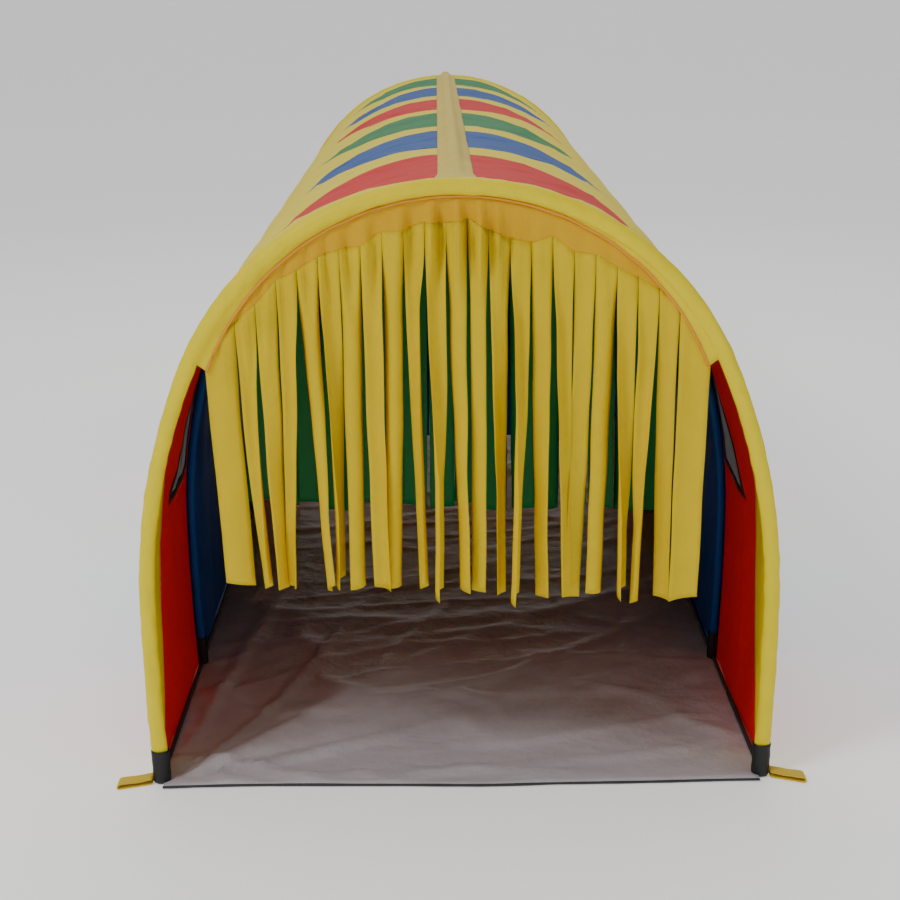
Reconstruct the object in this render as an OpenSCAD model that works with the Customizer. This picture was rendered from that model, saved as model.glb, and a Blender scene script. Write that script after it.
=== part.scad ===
// Agility tunnel: a long arched fabric tunnel on curved rods, with hanging streamers.
// The tunnel runs along Y, its front mouth faces -Y and the ground is Z = 0.

/* [Tunnel] */
// Distance between the two end arches, centre to centre
tunnel_len = 2896; // [1800:1:3600]
// Greatest outside width, over the end sleeves
tunnel_w = 914; // [740:1:1200]
// Height of the end arches, over the end sleeves
tunnel_h = 873; // [720:1:1080]
// Height at which the tunnel is widest
wide_z = 270; // [150:1:320]
// How much smaller the crown radius is than half the width
crown_tuck = 37; // [20:1:60]
// Radius of the nearly straight legs below the widest point
leg_r = 3600; // [2400:10:6000]

/* [Rods and sleeves] */
// Diameter of the curved rods
rod_d = 9.5; // [7:0.1:11]
// Outside diameter of the wide sleeves on the end arches
end_sleeve_d = 24; // [20:1:32]
// Outside diameter of the narrow sleeves on the inner arches
inner_sleeve_d = 15; // [15:0.5:18]
// Fabric thickness of a sleeve
sleeve_t = 1.2; // [0.8:0.1:1.5]
// How deep the centre of an inner arch rod lies below the end arch outline
inner_rod_in = 14; // [12:0.5:18]
// Outside diameter of the joining tubes on the rods
ferrule_d = 11.6; // [11.4:0.1:12]
// Running clearance between a rod and its joining tubes, on the radius
ferrule_gap = 0.05; // [0.02:0.01:0.1]
// Length of a joining tube
ferrule_len = 60; // [40:1:90]
// Angle of the joining tubes from the top of the arch
ferrule_ang = 32; // [20:1:45]
// Height of the black foot pockets
pocket_h = 50; // [35:1:80]
// Outside diameter of the foot pockets on the end arches
end_pocket_d = 28; // [28:1:36]
// Outside diameter of the foot pockets on the inner arches
side_pocket_d = 18; // [18:1:24]
// Thickness under a rod's end
pocket_floor = 4; // [3:0.5:8]
// Room round a rod in its foot pocket and in the ridge strip, on the radius
pocket_play = 2; // [1.8:0.1:2]

/* [Canopy] */
// Thickness of the canopy cloth
skin_t = 2; // [1.5:0.1:3]
// Half-width of a yellow gore where it crosses the ridge
gore_ridge_w = 58; // [30:1:80]
// Distance from the ridge to the point of a coloured roof panel
roof_point = 262; // [200:1:280]
// Height of the seam between the coloured walls and the yellow shoulder
wall_top = 640; // [520:1:660]
// Width of the end gores on the wall at the ground
facing_foot_w = 65; // [45:1:90]
// Width of the end gores halfway up the wall
facing_mid_w = 160; // [120:1:190]
// Thickness of the ground sheet
floor_t = 2.5; // [2:0.1:4]
// How far the ground sheet reaches past an end arch
floor_lip = 30; // [20:1:60]
// Diameter of the piping along the ground sheet
floor_piping_d = 6; // [4:0.5:10]

/* [Ridge] */
// Width of the ridge strip at its base
ridge_w = 50; // [40:1:70]
// Width of the ridge strip where it flares at the front arch
ridge_flare_w = 64; // [60:1:90]
// Length of that flare
ridge_flare_len = 110; // [80:1:200]
// Wall of the ridge strip above the ridge rod
ridge_wall = 2.5; // [2:0.1:4]

/* [Windows] */
// Distance of a window's rear edge from the first inner arch
window_rear = 22; // [18:1:60]
// Length of a window's bottom edge
window_len = 240; // [160:1:255]
// Height of a window's bottom edge above the ground
window_z = 355; // [300:1:420]
// Height of a window's rear edge
window_h = 185; // [120:1:200]
// Width of the black binding round a window
binding_w = 9; // [6:0.5:14]

/* [Streamers] */
// Height of the front header at the middle of the arch
header_drop = 68; // [50:1:90]
// Height of a header where it ends at the side
header_side = 20; // [16:1:30]
// How far below the crown a header ends at the side
header_end = 220; // [160:1:240]
// Thickness of the streamer cloth
cloth_t = 2; // [1.5:0.1:3]
// Height of the streamers' lower ends above the ground
streamer_z = 285; // [200:1:340]
// Width of the outermost streamer at each side
edge_streamer_w = 44; // [36:1:60]
// Slit between two streamers
slit_w = 3; // [2:0.5:5]
// Room between a header and the top of a streamer
hang_gap = 1.2; // [1:0.1:2]
// Number of streamers in a curtain on an inner arch or at the rear
curtain_n = 16; // [10:1:20]
// Diameter of the piping across the front header
header_piping_d = 4; // [3:0.5:6]
// How much smaller the front piping's radius is than the arch opening's
piping_tuck = 24; // [12:1:40]

/* [Stake loops] */
// Length of a webbing loop
loop_len = 42; // [36:1:70]
// Width of the webbing
loop_w = 25; // [20:1:40]
// Height of a loop lying on the ground
loop_h = 10; // [9:0.5:14]
// Thickness of the webbing
webbing_t = 2; // [1.5:0.1:2.5]
// Length of the stitched root of a loop
loop_root = 8; // [8:0.5:12]
// Gap between a foot pocket and its loop
loop_gap = 0.5; // [0.4:0.1:1]

/* [Hidden] */

yellow = [0.93, 0.84, 0.12];
red = [0.80, 0.08, 0.07];
blue = [0.05, 0.26, 0.55];
green = [0.10, 0.45, 0.22];
black = [0.06, 0.06, 0.07];

bays = 6;
bay = tunnel_len / bays;
front_y = -tunnel_len / 2;
rear_y = tunnel_len / 2;
streamer_n = 23;
eps = 1;
$fn = 96;

rod_r = rod_d / 2;
end_in = end_sleeve_d / 2;

// The canopy cloth passes over the inner sleeves; headers hang below the sleeves
seam_gap = 0.1;
skin_end = inner_rod_in - inner_sleeve_d / 2 - seam_gap;
skin_in = skin_end - skin_t;
front_inset = end_sleeve_d + seam_gap;
inner_inset = inner_rod_in + inner_sleeve_d / 2 + seam_gap;

// The arch outline: a crown arc, a longer wall arc and a nearly straight leg, all tangent
half_w = tunnel_w / 2;
crown_r = half_w - crown_tuck;
crown_z = tunnel_h - crown_r;
rise = tunnel_h - wide_z;
exact_side_r = (half_w * half_w + rise * rise - 2 * crown_r * rise) / (2 * (half_w - crown_r));
side_r = round(100 * exact_side_r) / 100;
side_x = half_w - side_r;
leg_x = half_w - leg_r;
crown_ang = atan2(-side_x, crown_z - wide_z);

// Height of the joint between crown and wall arcs, on an outline moved in by inset
function join_z(inset) = crown_z + (crown_r - inset) * cos(crown_ang);

// Half-width of the outline at height z, moved in by inset
function arch_x(z, inset) =
    z < wide_z ? leg_x + sqrt(pow(leg_r - inset, 2) - pow(z - wide_z, 2)) :
    z < join_z(inset) ? side_x + sqrt(pow(side_r - inset, 2) - pow(z - wide_z, 2)) :
    sqrt(pow(crown_r - inset, 2) - pow(z - crown_z, 2));

// Radius of the arc through the middle of a bulge of the given half-length and depth
function bulge_r(half_len, depth) = (half_len * half_len + depth * depth) / (2 * depth);

// Distance along Y from an end arch at which its sleeve meets the canopy cloth
skin_start = sqrt(end_in * end_in - pow(end_in - skin_end - seam_gap, 2)) + seam_gap;
big_fn = 360;
bend_fn = 180;
tube_fn = 32;

// Pieces of outline, drawn with X across and Y up

// The wall and leg arcs are this much smaller than tangent ones, so that the crown arc crosses them cleanly
wall_under = 0.03;

module two_arcs(x, r) {
    intersection() {
        translate([x, wide_z]) circle(r = r, $fn = big_fn);
        translate([-x, wide_z]) circle(r = r, $fn = big_fn);
    }
}

module arch_face(inset) {
    top = join_z(inset);
    intersection() {
        translate([-half_w, 0]) square([tunnel_w, wide_z]);
        two_arcs(leg_x, leg_r - inset - wall_under);
    }
    intersection() {
        translate([-half_w, wide_z]) square([tunnel_w, top - wide_z]);
        two_arcs(side_x, side_r - inset - wall_under);
    }
    intersection() {
        translate([-half_w, top]) square([tunnel_w, tunnel_h - top + eps]);
        two_arcs(side_x, side_r - inset - wall_under);
        translate([0, crown_z]) circle(r = crown_r - inset, $fn = big_fn);
    }
}

// Extrudes an outline along Y, from y0 to y1
module along_y(y0, y1) {
    translate([0, y1, 0]) rotate([90, 0, 0]) linear_extrude(y1 - y0) children();
}

// Extrudes a side outline (X is the tunnel's Y, Y is up) across the whole width
module across(x0, x1) {
    translate([x0, 0, 0]) rotate([90, 0, 90]) linear_extrude(x1 - x0) children();
}

// Canopy cloth between two distances from the outline
module shell(y0, y1, in0 = skin_in, in1 = skin_end) {
    along_y(y0, y1) difference() {
        arch_face(in0);
        arch_face(in1);
    }
}

// A block over the full width
module slab(y0, y1, z0, z1) {
    translate([-half_w - eps, y0, z0]) cube([tunnel_w + 2 * eps, y1 - y0, z1 - z0]);
}

// Curved tubes and rods

// One arc of a bent tube in the arch plane, between two angles from the top of its circle
module bent_arc(x, z, r, tube_r, bore_r, a0, a1) {
    translate([x, 0, z]) rotate([90, 0, 0]) rotate([0, 0, 90 - a1])
        rotate_extrude(angle = a1 - a0, $fn = bend_fn) translate([r, 0]) difference() {
            circle(r = tube_r, $fn = tube_fn);
            if (bore_r > 0) circle(r = bore_r, $fn = tube_fn);
        }
}

// Half the gap between two sections of a bent tube
butt = 0.1;
function butt_ang(r) = butt / r * 180 / PI;

// A whole arch of five sections that meet end to end, its lower ends at height foot_z
module bent_arch(inset, tube_r, bore_r, foot_z) {
    r0 = crown_r - inset;
    r1 = side_r - inset;
    r2 = leg_r - inset;
    foot_ang = 90 + asin((wide_z - foot_z) / r2);
    bent_arc(0, crown_z, r0, tube_r, bore_r, -crown_ang + butt_ang(r0), crown_ang - butt_ang(r0));
    for (side = [0, 1]) mirror([side, 0, 0]) {
        bent_arc(side_x, wide_z, r1, tube_r, bore_r, crown_ang + butt_ang(r1), 90 - butt_ang(r1));
        bent_arc(leg_x, wide_z, r2, tube_r, bore_r, 90 + butt_ang(r2), foot_ang);
    }
}

// Y of arch number i, and how deep its rod lies
function arch_y(i) = front_y + i * bay;
function rod_in(i) = (i == 0 || i == bays) ? end_in : inner_rod_in;

module arch_rods() {
    color("lightgrey")
        for (i = [0:bays]) translate([0, arch_y(i), 0]) bent_arch(rod_in(i), rod_r, 0, pocket_floor + eps);
}

module rod_ferrules() {
    color("silver")
        for (i = [0:bays], side = [-1, 1]) {
            r = crown_r - rod_in(i);
            half_ang = ferrule_len / 2 / r * 180 / PI;
            mid = side * ferrule_ang;
            translate([0, arch_y(i), 0])
                bent_arc(0, crown_z, r, ferrule_d / 2, rod_r + ferrule_gap, mid - half_ang, mid + half_ang);
        }
}

// Sleeves start just above their pockets
sleeve_foot = pocket_h + eps;

module end_sleeve(y) {
    color(yellow) translate([0, y, 0]) bent_arch(end_in, end_in, end_in - sleeve_t, sleeve_foot);
}
module front_sleeve() { end_sleeve(front_y); }
module rear_sleeve() { end_sleeve(rear_y); }

module inner_sleeves() {
    color(yellow)
        for (i = [1:bays - 1]) translate([0, arch_y(i), 0])
            bent_arch(inner_rod_in, inner_sleeve_d / 2, inner_sleeve_d / 2 - sleeve_t, sleeve_foot);
}

// Foot pockets: short cups, cut back where the canopy cloth passes them
function pocket_x(i) = arch_x(pocket_h / 2, rod_in(i));
function pocket_d(i) = (i == 0 || i == bays) ? end_pocket_d : side_pocket_d;

module foot_pocket(i) {
    d = pocket_d(i);
    cloth_x = arch_x(0, skin_end) - seam_gap;
    cut_y0 = i == 0 ? skin_start - seam_gap : -d;
    cut_y1 = i == bays ? seam_gap - skin_start : d;
    difference() {
        translate([pocket_x(i), 0, 0]) cylinder(d = d, h = pocket_h);
        translate([pocket_x(i), 0, pocket_floor]) cylinder(r = rod_r + pocket_play, h = pocket_h);
        translate([cloth_x, cut_y0, -eps]) cube([d, cut_y1 - cut_y0, pocket_h + 2 * eps]);
    }
}

module foot_pockets() {
    color(black)
        for (i = [0:bays], side = [0, 1]) translate([0, arch_y(i), 0]) mirror([side, 0, 0]) foot_pocket(i);
}

// Canopy cloth

// Plan outline of a coloured roof panel: two arcs meeting in a point on each side
module roof_lens(i) {
    half = bay / 2 - gore_ridge_w;
    r = bulge_r(roof_point, half);
    translate([0, arch_y(i) + bay / 2, wall_top]) linear_extrude(tunnel_h) intersection() {
        translate([0, r - half]) circle(r = r, $fn = big_fn);
        translate([0, half - r]) circle(r = r, $fn = big_fn);
    }
}

// Side outline of the front gore's wall part
facing_bulge = facing_mid_w - facing_foot_w;
facing_r = bulge_r(wall_top / 2, facing_bulge);
module facing_disc() {
    translate([front_y + facing_mid_w - facing_r, wall_top / 2]) rotate([0, 0, 180])
        circle(r = facing_r, $fn = big_fn);
}

// Corners of a window, and the same corners moved in by w
win_y1 = front_y + bay - window_rear;
win_leg = (window_len + window_h - norm([window_len, window_h])) / 2;
win_mid = [win_y1 - win_leg, window_z + win_leg];
win_outer = [
    [win_y1 - window_len, window_z],
    [win_y1, window_z],
    [win_y1, window_z + window_h]
];
function window_corners(w) = [for (p = win_outer) win_mid + (p - win_mid) * (1 - w / win_leg)];

module window_shape(w) {
    polygon(window_corners(w));
}

// Both walls of a bay, cut to the side outline that is passed in
module wall_pair(in0 = skin_in, in1 = skin_end) {
    intersection() {
        shell(front_y, rear_y, in0, in1);
        across(-half_w - eps, half_w + eps) children();
    }
}

module wall_outline(i) {
    translate([arch_y(i), 0]) square([bay, wall_top]);
}

// Draws its children at the front, and turned round at the rear
module both_ends() {
    for (turn = [0, 180]) rotate([0, 0, turn]) children();
}

module roof_panel(i) {
    intersection() {
        shell(arch_y(i), arch_y(i) + bay);
        roof_lens(i);
    }
}

// A bay at the end of the tunnel, with its windows
module end_bay() {
    roof_panel(0);
    wall_pair() difference() {
        wall_outline(0);
        facing_disc();
        window_shape(0);
    }
}
module bay_1_red() { color(red) end_bay(); }
module bay_6_green() { color(green) rotate([0, 0, 180]) end_bay(); }

module inner_bay(i, colour) {
    color(colour) {
        roof_panel(i);
        wall_pair() wall_outline(i);
    }
}
module bay_2_blue() { inner_bay(1, blue); }
module bay_3_green() { inner_bay(2, green); }
module bay_4_red() { inner_bay(3, red); }
module bay_5_blue() { inner_bay(4, blue); }

// Yellow cloth above the wall seam, from y0 to y1, round the roof panels
module shoulder(y0, y1) {
    difference() {
        intersection() {
            shell(y0, y1);
            slab(y0, y1, wall_top, tunnel_h + eps);
        }
        for (i = [0:bays - 1]) if (arch_y(i) < y1 && arch_y(i) + bay > y0) roof_lens(i);
    }
}

module front_gore_shape() {
    shoulder(front_y + skin_start, front_y + bay / 2);
    wall_pair() intersection() {
        translate([front_y + skin_start, 0]) square([bay, wall_top]);
        facing_disc();
    }
}

module front_gore() { color(yellow) front_gore_shape(); }
module rear_gore() { color(yellow) rotate([0, 0, 180]) front_gore_shape(); }

module inner_gore(i) { color(yellow) shoulder(arch_y(i) - bay / 2, arch_y(i) + bay / 2); }
module gore_1() { inner_gore(1); }
module gore_2() { inner_gore(2); }
module gore_3() { inner_gore(3); }
module gore_4() { inner_gore(4); }
module gore_5() { inner_gore(5); }

// Ridge strip: a raised sleeve on the roof that holds a straight rod over the arches
ridge_edge_t = 2;
ridge_chamfer = 1;
ridge_rod_z = tunnel_h - skin_in + eps + rod_r;
ridge_top = ridge_rod_z + rod_r + ridge_wall;
ridge_base = tunnel_h - skin_end - 2 * skin_t;
ridge_shoulder = tunnel_h - skin_in + ridge_edge_t;
ridge_front = front_y + end_in + eps;
ridge_rear = rear_y - end_in - eps;

module ridge_profile() {
    polygon([
        [-ridge_w / 2, ridge_base], [ridge_w / 2, ridge_base], [ridge_w / 2, ridge_shoulder],
        [rod_r + ridge_wall, ridge_top - ridge_chamfer], [rod_r, ridge_top], [-rod_r, ridge_top],
        [-rod_r - ridge_wall, ridge_top - ridge_chamfer], [-ridge_w / 2, ridge_shoulder]
    ]);
}

module ridge_flare() {
    y1 = ridge_front + ridge_flare_len;
    intersection() {
        translate([0, 0, crown_z]) linear_extrude(tunnel_h) polygon([
            [-ridge_flare_w / 2, ridge_front], [ridge_flare_w / 2, ridge_front],
            [ridge_w / 2, y1], [-ridge_w / 2, y1]
        ]);
        shell(ridge_front, y1, skin_in - ridge_edge_t, skin_in);
    }
}

module ridge_strip() {
    color([0.80, 0.70, 0.22])
        difference() {
            union() {
                along_y(ridge_front, ridge_rear) ridge_profile();
                ridge_flare();
            }
            along_y(ridge_front - eps, ridge_rear + eps) arch_face(skin_in);
            translate([0, ridge_front + pocket_floor, ridge_rod_z]) rotate([-90, 0, 0])
                cylinder(r = rod_r + pocket_play, h = ridge_rear - ridge_front - 2 * pocket_floor);
        }
}

module ridge_rod() {
    rod_y0 = ridge_front + pocket_floor + eps;
    color("lightgrey") translate([0, rod_y0, ridge_rod_z]) rotate([-90, 0, 0])
        cylinder(r = rod_r, h = ridge_rear - ridge_front - 2 * (pocket_floor + eps));
}

// Ground sheet

module ground_sheet() {
    y0 = front_y - floor_lip;
    y1 = rear_y + floor_lip;
    color([0.60, 0.60, 0.62]) difference() {
        intersection() {
            along_y(y0, y1) arch_face(skin_end);
            slab(y0, y1, 0, floor_t);
        }
        for (i = [0:bays], side = [-1, 1]) translate([side * pocket_x(i), arch_y(i), -eps])
            cylinder(d = pocket_d(i) + eps, h = pocket_h);
        for (i = [0, 1], side = [-1, 1]) mirror([0, i, 0]) mirror([side < 0 ? 1 : 0, 0, 0])
            translate([pocket_x(0), y0 - eps, -eps]) cube([half_w, floor_lip + eps, pocket_h]);
    }
}

// Room between the piping and the foot pockets
piping_gap = 0.5;

module ground_piping() {
    r = floor_piping_d / 2;
    z = floor_t + r;
    x = pocket_x(1) - side_pocket_d / 2 - r - piping_gap;
    color([0.18, 0.18, 0.19])
        for (side = [-1, 1]) translate([side * x, front_y + skin_start, z]) rotate([-90, 0, 0])
            cylinder(r = r, h = tunnel_len - 2 * skin_start);
}

// Windows

module window_meshes() {
    color([0.22, 0.22, 0.22]) both_ends()
        wall_pair(skin_in + skin_t / 4, skin_end - skin_t / 4) window_shape(binding_w);
}

module window_bindings() {
    color(black) both_ends() wall_pair(skin_in - skin_t / 2, skin_end + skin_t / 2) difference() {
        window_shape(0);
        window_shape(binding_w);
    }
}

// Streamer curtains: a header with a curved lower edge, and strips that hang from it

// An arc that falls from z0 at the middle to z1 at half-width w gives the strips' top edges
function header_end_z(inset) = tunnel_h - inset - header_end;
hem_room = 4;
function header_end_x(inset) = arch_x(header_end_z(inset), inset) - hem_room;
hem_fall = header_end - header_drop;
function hem_r(inset) = bulge_r(header_end_x(inset), hem_fall);
function hem_z(x, inset) =
    tunnel_h - inset - header_drop - hem_r(inset) + sqrt(pow(hem_r(inset), 2) - x * x);

// Left and right edges of strip k out of n, with wider strips at both sides
function strip_x(k, n, half, edge_w) =
    k <= 0 ? -half :
    k >= n ? half :
    -half + edge_w + (k - 1) * 2 * (half - edge_w) / (n - 2);

// Height of the top of a strip that spans x0 to x1
function strip_top(x0, x1, inset) = hem_z(max(abs(x0), abs(x1)), inset);

module strip_box(y, x0, x1, z0, z1, t = cloth_t) {
    translate([x0, y - t / 2, z0]) cube([x1 - x0, t, z1 - z0]);
}

module strip(y, k, n, half, edge_w, inset) {
    x0 = strip_x(k, n, half, edge_w);
    x1 = strip_x(k + 1, n, half, edge_w);
    top = strip_top(x0, x1, inset);
    strip_box(y, x0 + slit_w / 2, x1 - slit_w / 2, streamer_z, top - hang_gap);
}

module header(y, n, edge_w, inset) {
    half = header_end_x(inset);
    difference() {
        along_y(y - cloth_t / 2, y + cloth_t / 2) intersection() {
            arch_face(inset);
            translate([-half_w, header_end_z(inset) - header_side]) square([tunnel_w, tunnel_h]);
        }
        for (k = [0:n - 1]) {
            x0 = strip_x(k, n, half, edge_w);
            x1 = strip_x(k + 1, n, half, edge_w);
            strip_box(y, x0, x1, 0, strip_top(x0, x1, inset), 2 * cloth_t);
        }
    }
}

module front_header() { color(yellow) header(front_y, streamer_n, edge_streamer_w, front_inset); }
module streamer(k) {
    color(yellow) strip(front_y, k, streamer_n, header_end_x(front_inset), edge_streamer_w, front_inset);
}

module header_piping() {
    r = crown_r - front_inset - piping_tuck;
    pr = header_piping_d / 2;
    ang = acos((header_end_z(front_inset) + header_side - (tunnel_h - front_inset - r - pr)) / r);
    color([0.85, 0.48, 0.08]) translate([0, front_y - cloth_t / 2 - pr, 0])
        bent_arc(0, tunnel_h - front_inset - r - pr, r, pr, 0, -ang, ang);
}

// The streamers of an inner or rear curtain are cut up to the hem, and bend at one height
function bend_z(inset) = hem_z(header_end_x(inset), inset);

module curtain_header(y, inset, colour) {
    half = header_end_x(inset);
    color(colour) difference() {
        along_y(y - cloth_t / 2, y + cloth_t / 2) intersection() {
            arch_face(inset);
            translate([-half_w, bend_z(inset)]) square([tunnel_w, tunnel_h]);
        }
        for (k = [1:curtain_n - 1]) {
            x = strip_x(k, curtain_n, half, edge_streamer_w);
            top = hem_z(abs(x), inset);
            strip_box(y, x - slit_w / 2, x + slit_w / 2, bend_z(inset) - eps, top, 2 * cloth_t);
        }
    }
}

module curtain_strips(y, inset, colour) {
    half = header_end_x(inset);
    color(colour) for (k = [0:curtain_n - 1]) {
        x0 = strip_x(k, curtain_n, half, edge_streamer_w);
        x1 = strip_x(k + 1, curtain_n, half, edge_streamer_w);
        strip_box(y, x0 + slit_w / 2, x1 - slit_w / 2, streamer_z, bend_z(inset) - hang_gap);
    }
}
module green_header() { curtain_header(arch_y(1), inner_inset, green); }
module blue_header() { curtain_header(arch_y(2), inner_inset, blue); }
module rear_header() { curtain_header(rear_y, front_inset, yellow); }
module green_streamers() { curtain_strips(arch_y(1), inner_inset, green); }
module blue_streamers() { curtain_strips(arch_y(2), inner_inset, blue); }
module rear_streamers() { curtain_strips(rear_y, front_inset, yellow); }

// Stake loops: flat webbing loops, each hinged where it is stitched to its foot pocket

module stake_loop(x_sign, y) {
    r = loop_h / 2;
    loop_fn = 48;
    x0 = pocket_x(0) + end_pocket_d / 2 + loop_gap;
    color([0.80, 0.62, 0.05])
        translate([0, y - loop_w / 2, 0]) mirror([x_sign < 0 ? 1 : 0, 0, 0])
            translate([x0, 0, 0]) along_y(0, loop_w) difference() {
                union() {
                    translate([r, r]) circle(r = r, $fn = loop_fn);
                    translate([loop_len - r, r]) circle(r = r, $fn = loop_fn);
                    translate([r, 0]) square([loop_len - loop_h, loop_h]);
                }
                translate([loop_len - r, r]) circle(r = r - webbing_t, $fn = loop_fn);
                translate([loop_root, webbing_t])
                    square([loop_len - r - loop_root, loop_h - 2 * webbing_t]);
            }
}
module front_left_loop() { stake_loop(-1, front_y); }
module front_right_loop() { stake_loop(1, front_y); }
module rear_left_loop() { stake_loop(-1, rear_y); }
module rear_right_loop() { stake_loop(1, rear_y); }

arch_rods();
rod_ferrules();
ridge_rod();
front_sleeve();
rear_sleeve();
inner_sleeves();
foot_pockets();
front_left_loop();
front_right_loop();
rear_left_loop();
rear_right_loop();
bay_1_red();
bay_2_blue();
bay_3_green();
bay_4_red();
bay_5_blue();
bay_6_green();
front_gore();
gore_1();
gore_2();
gore_3();
gore_4();
gore_5();
rear_gore();
ridge_strip();
ground_sheet();
ground_piping();
window_meshes();
window_bindings();
front_header();
header_piping();
green_header();
blue_header();
rear_header();
green_streamers();
blue_streamers();
rear_streamers();
streamer(0);  // streamer_01
streamer(1);  // streamer_02
streamer(2);  // streamer_03
streamer(3);  // streamer_04
streamer(4);  // streamer_05
streamer(5);  // streamer_06
streamer(6);  // streamer_07
streamer(7);  // streamer_08
streamer(8);  // streamer_09
streamer(9);  // streamer_10
streamer(10);  // streamer_11
streamer(11);  // streamer_12
streamer(12);  // streamer_13
streamer(13);  // streamer_14
streamer(14);  // streamer_15
streamer(15);  // streamer_16
streamer(16);  // streamer_17
streamer(17);  // streamer_18
streamer(18);  // streamer_19
streamer(19);  // streamer_20
streamer(20);  // streamer_21
streamer(21);  // streamer_22
streamer(22);  // streamer_23
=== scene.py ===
import bpy
import bmesh
import math
import random
from mathutils import Matrix, Vector, noise


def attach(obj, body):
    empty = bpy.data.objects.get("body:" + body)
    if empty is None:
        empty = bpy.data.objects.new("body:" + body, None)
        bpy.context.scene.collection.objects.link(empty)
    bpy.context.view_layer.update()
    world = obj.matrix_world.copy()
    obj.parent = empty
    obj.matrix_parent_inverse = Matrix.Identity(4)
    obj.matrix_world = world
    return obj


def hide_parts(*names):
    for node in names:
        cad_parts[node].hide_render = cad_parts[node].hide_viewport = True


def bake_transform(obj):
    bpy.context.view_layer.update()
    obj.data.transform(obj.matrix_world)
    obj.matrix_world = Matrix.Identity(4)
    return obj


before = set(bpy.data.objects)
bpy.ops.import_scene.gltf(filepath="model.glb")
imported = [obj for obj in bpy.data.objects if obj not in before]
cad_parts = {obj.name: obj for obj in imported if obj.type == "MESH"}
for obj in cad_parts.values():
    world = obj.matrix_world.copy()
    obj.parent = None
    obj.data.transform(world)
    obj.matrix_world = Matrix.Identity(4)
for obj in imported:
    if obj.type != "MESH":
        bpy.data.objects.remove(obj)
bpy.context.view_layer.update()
print("frame loaded")

# the arch: crown arc, wall arc and leg arc, and where the seven arches stand
arch = {"halfWidth": 0.457, "height": 0.873, "wideZ": 0.27, "crownR": 0.42, "legR": 3.6}
tunnel = {"front": -1.448, "bays": 6, "bay": 2.896 / 6, "cloth": 0.0054, "wallTop": 0.64, "wallCut": 0.68}
crownZ = arch["height"] - arch["crownR"]
rise = arch["height"] - arch["wideZ"]
sideR = arch["halfWidth"] ** 2 + rise ** 2 - 2 * arch["crownR"] * rise
sideR /= 2 * (arch["halfWidth"] - arch["crownR"])
crownAngle = math.atan2(sideR - arch["halfWidth"], crownZ - arch["wideZ"])


def archY(i):
    return tunnel["front"] + i * tunnel["bay"]


def archPoint(angle, inset):
    # a place on the arch and its outward direction; angle is from the top, positive to the right
    side = 1 if angle >= 0 else -1
    a = abs(angle)
    if a <= crownAngle:
        cx, cz, r = 0, crownZ, arch["crownR"]
    elif a <= math.pi / 2:
        cx, cz, r = arch["halfWidth"] - sideR, arch["wideZ"], sideR
    else:
        cx, cz, r = arch["halfWidth"] - arch["legR"], arch["wideZ"], arch["legR"]
    r -= inset
    place = Vector((side * (cx + r * math.sin(a)), 0, cz + r * math.cos(a)))
    return place, Vector((math.sin(angle), 0, math.cos(angle)))


def angleAtZ(z, inset):
    if z <= arch["wideZ"]:
        return math.pi / 2 + math.asin((arch["wideZ"] - z) / (arch["legR"] - inset))
    a = math.acos(min(1, (z - arch["wideZ"]) / (sideR - inset)))
    if a >= crownAngle:
        return a
    return math.acos(max(-1, min(1, (z - crownZ) / (arch["crownR"] - inset))))


def archSpan(inset, footZ, step):
    # angles from the left foot to the right foot, evenly spaced along the tube
    end = angleAtZ(footZ, inset)
    last = 4000
    dense = [-end + 2 * end * k / last for k in range(last + 1)]
    places = [archPoint(a, inset)[0] for a in dense]
    run = [0]
    for p, q in zip(places, places[1:]):
        run.append(run[-1] + (q - p).length)
    n = max(2, round(run[-1] / step))
    out, j = [], 0
    for k in range(n + 1):
        want = run[-1] * k / n
        while j < last and run[j] < want:
            j += 1
        out.append(dense[j])
    return out, run[-1]


def wave(x, y, z=0.0):
    return noise.noise(Vector((x, y, z)))


# how far the canopy cloth lies from a smooth hoop: it draws in between the arches and creases a little
def clothShift(angle, y):
    f = (y - tunnel["front"]) / tunnel["bay"]
    f -= math.floor(f)
    free = math.sin(math.pi * f) ** 0.8 if 0 < f < 1 else 0
    a = abs(angle)
    top = max(0, math.cos(a))
    draw = 0.0065 - 0.002 * top
    low = max(0, a - 1)
    fold = (0.0035 + 0.003 * low) * wave(angle * 3.1, y * 5.2, 1.7)
    fold += (0.0022 + 0.004 * low) * wave(angle * 9 + y * 5, y * 12, 6.1)
    crease = max(0, 1 - abs(wave(angle * 4.4 - y * 3.2, y * 7.5 + angle * 2, 9.3)) * 6)
    crease += max(0, 1 - abs(wave(angle * 7 + y * 9, y * 4 - angle * 3, 21)) * 8) * low
    return -free * draw + free * fold + (0.08 + 0.92 * free) * crease * 0.0022


def canopyPoint(angle, y, lift=0.0):
    p, n = archPoint(angle, tunnel["cloth"])
    # it lies closer to the hoop towards the floor
    d = clothShift(angle, y) * min(1, max(0, p.z) / 0.12 + 0.15) + lift
    floorGap = 0.0015
    return Vector((p.x + n.x * d, y, max(floorGap, p.z + n.z * d)))


def sidePoint(side, y, z, lift=0.0):
    return canopyPoint(side * angleAtZ(z, tunnel["cloth"]), y, lift)


# materials
def setNode(node, values):
    for key, value in values.items():
        node.inputs[key].default_value = value


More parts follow.
